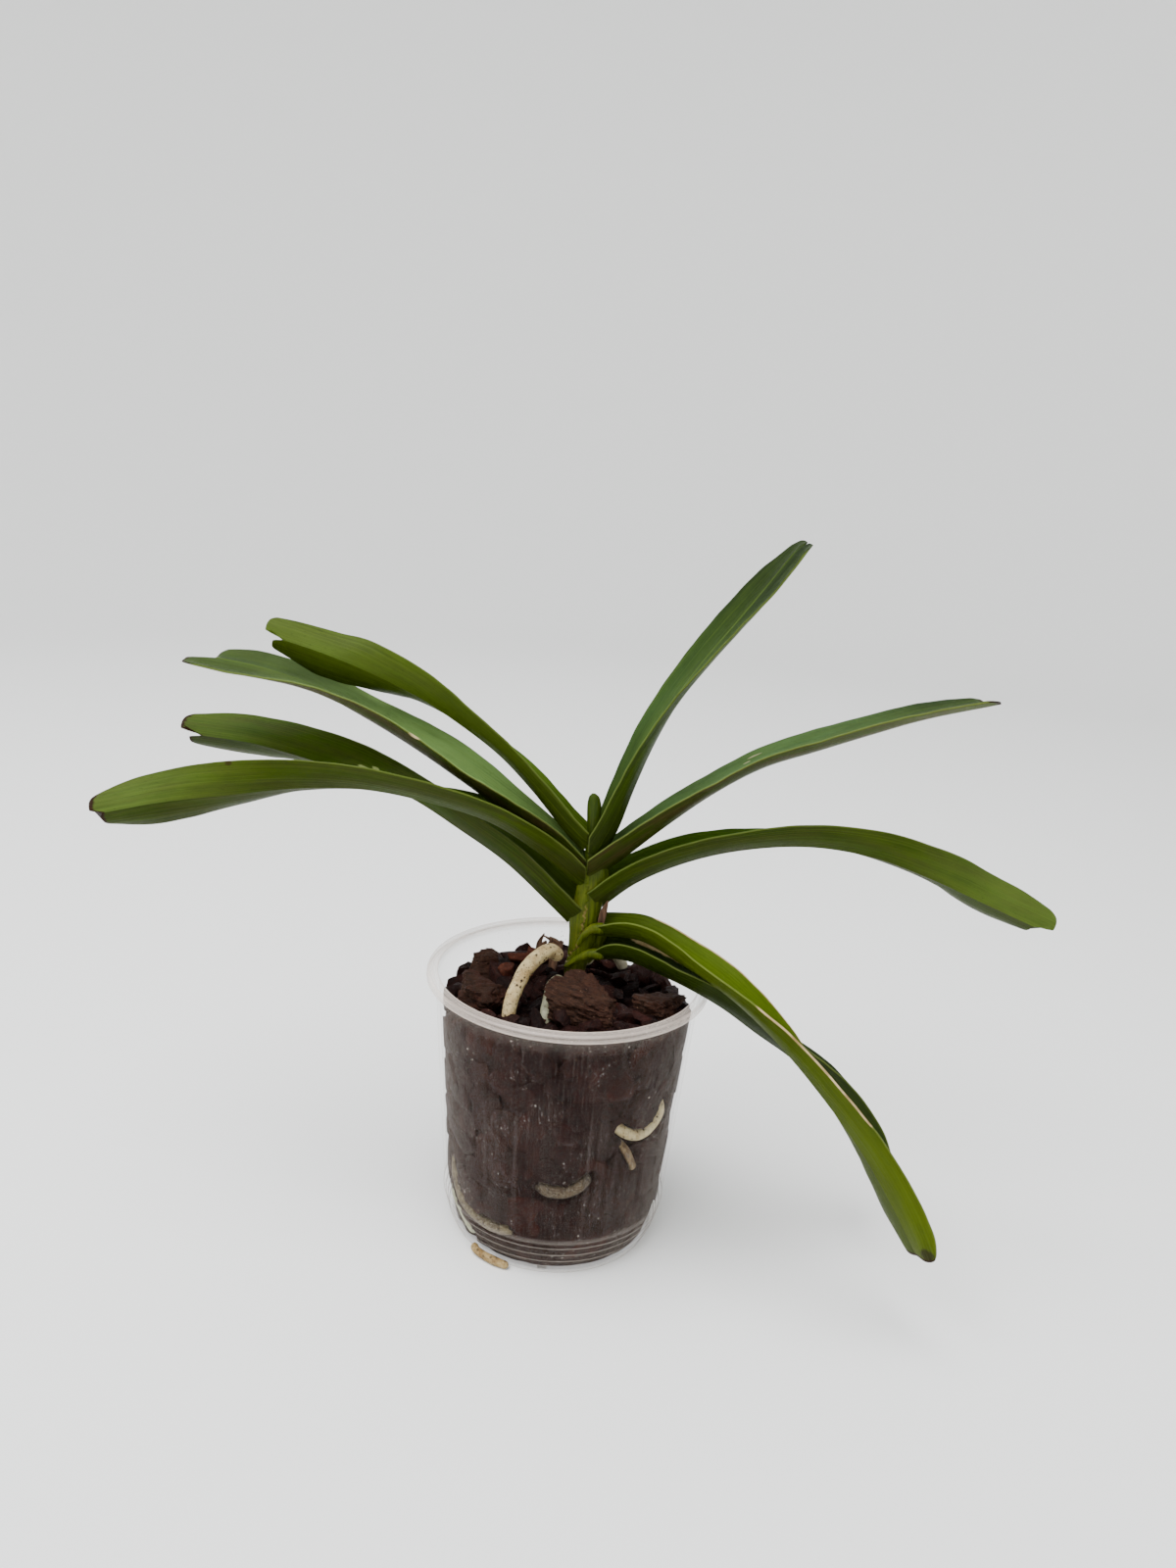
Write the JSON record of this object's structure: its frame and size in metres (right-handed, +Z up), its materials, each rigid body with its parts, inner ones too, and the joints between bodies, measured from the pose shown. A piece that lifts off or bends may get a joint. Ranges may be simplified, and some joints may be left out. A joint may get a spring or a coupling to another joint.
{
  "type": "potted rhynchovanda orchid",
  "caption": "Strap-leaved orchid with a flat fan of arching, folded leaves, growing in bark chips in a round translucent nursery pot with a flat lip and low drain notches.",
  "frame": {"origin": "middle of the pot's underside, on the surface that it stands on", "axes": "+Z up, +X to the right along the leaf fan seen from the front, -Y towards the front"},
  "size_m": [0.3089, 0.1001, 0.227],
  "materials": {
    "pot_plastic": "thin milky translucent polypropylene, satin, with fine scratches and water marks",
    "bark": "damp dark pine bark, matt",
    "bark_chip": "dry fibrous pine bark, matt",
    "stem_green": "waxy living sheath, satin",
    "root_velamen": "dry spongy root skin, cream-white and matt, specked brown",
    "leaf_green": "leathery mid-green blade, satin, paler and yellower underneath",
    "leaf_light": "leathery yellow-green blade, satin, with a tan dried margin",
    "dry_sheath": "dead papery sheath, matt"
  },
  "bodies": {
    "root": {"pot": "pot_plastic", "bark_bed": "bark", "chip_front": "bark_chip", "chip_left": "bark_chip", "chip_back_left": "bark_chip", "chip_right": "bark_chip", "stem": "stem_green", "root_arch": "root_velamen", "root_back": "root_velamen", "root_right": "root_velamen", "root_wall_right": "root_velamen", "root_wall_front": "root_velamen", "root_wall_left": "root_velamen", "root_exit": "root_velamen", "leaf_left_1": "leaf_green", "leaf_left_2": "leaf_green", "leaf_left_3": "leaf_green", "leaf_left_4": "leaf_green", "leaf_right_3": "leaf_green", "leaf_right_4": "leaf_green", "leaf_right_5": "leaf_green", "leaf_young": "leaf_green", "leaf_right_1": "leaf_light", "leaf_right_2": "leaf_light", "dry_sheath_right": "dry_sheath", "dry_sheath_left": "dry_sheath"}
  },
  "joints": []
}
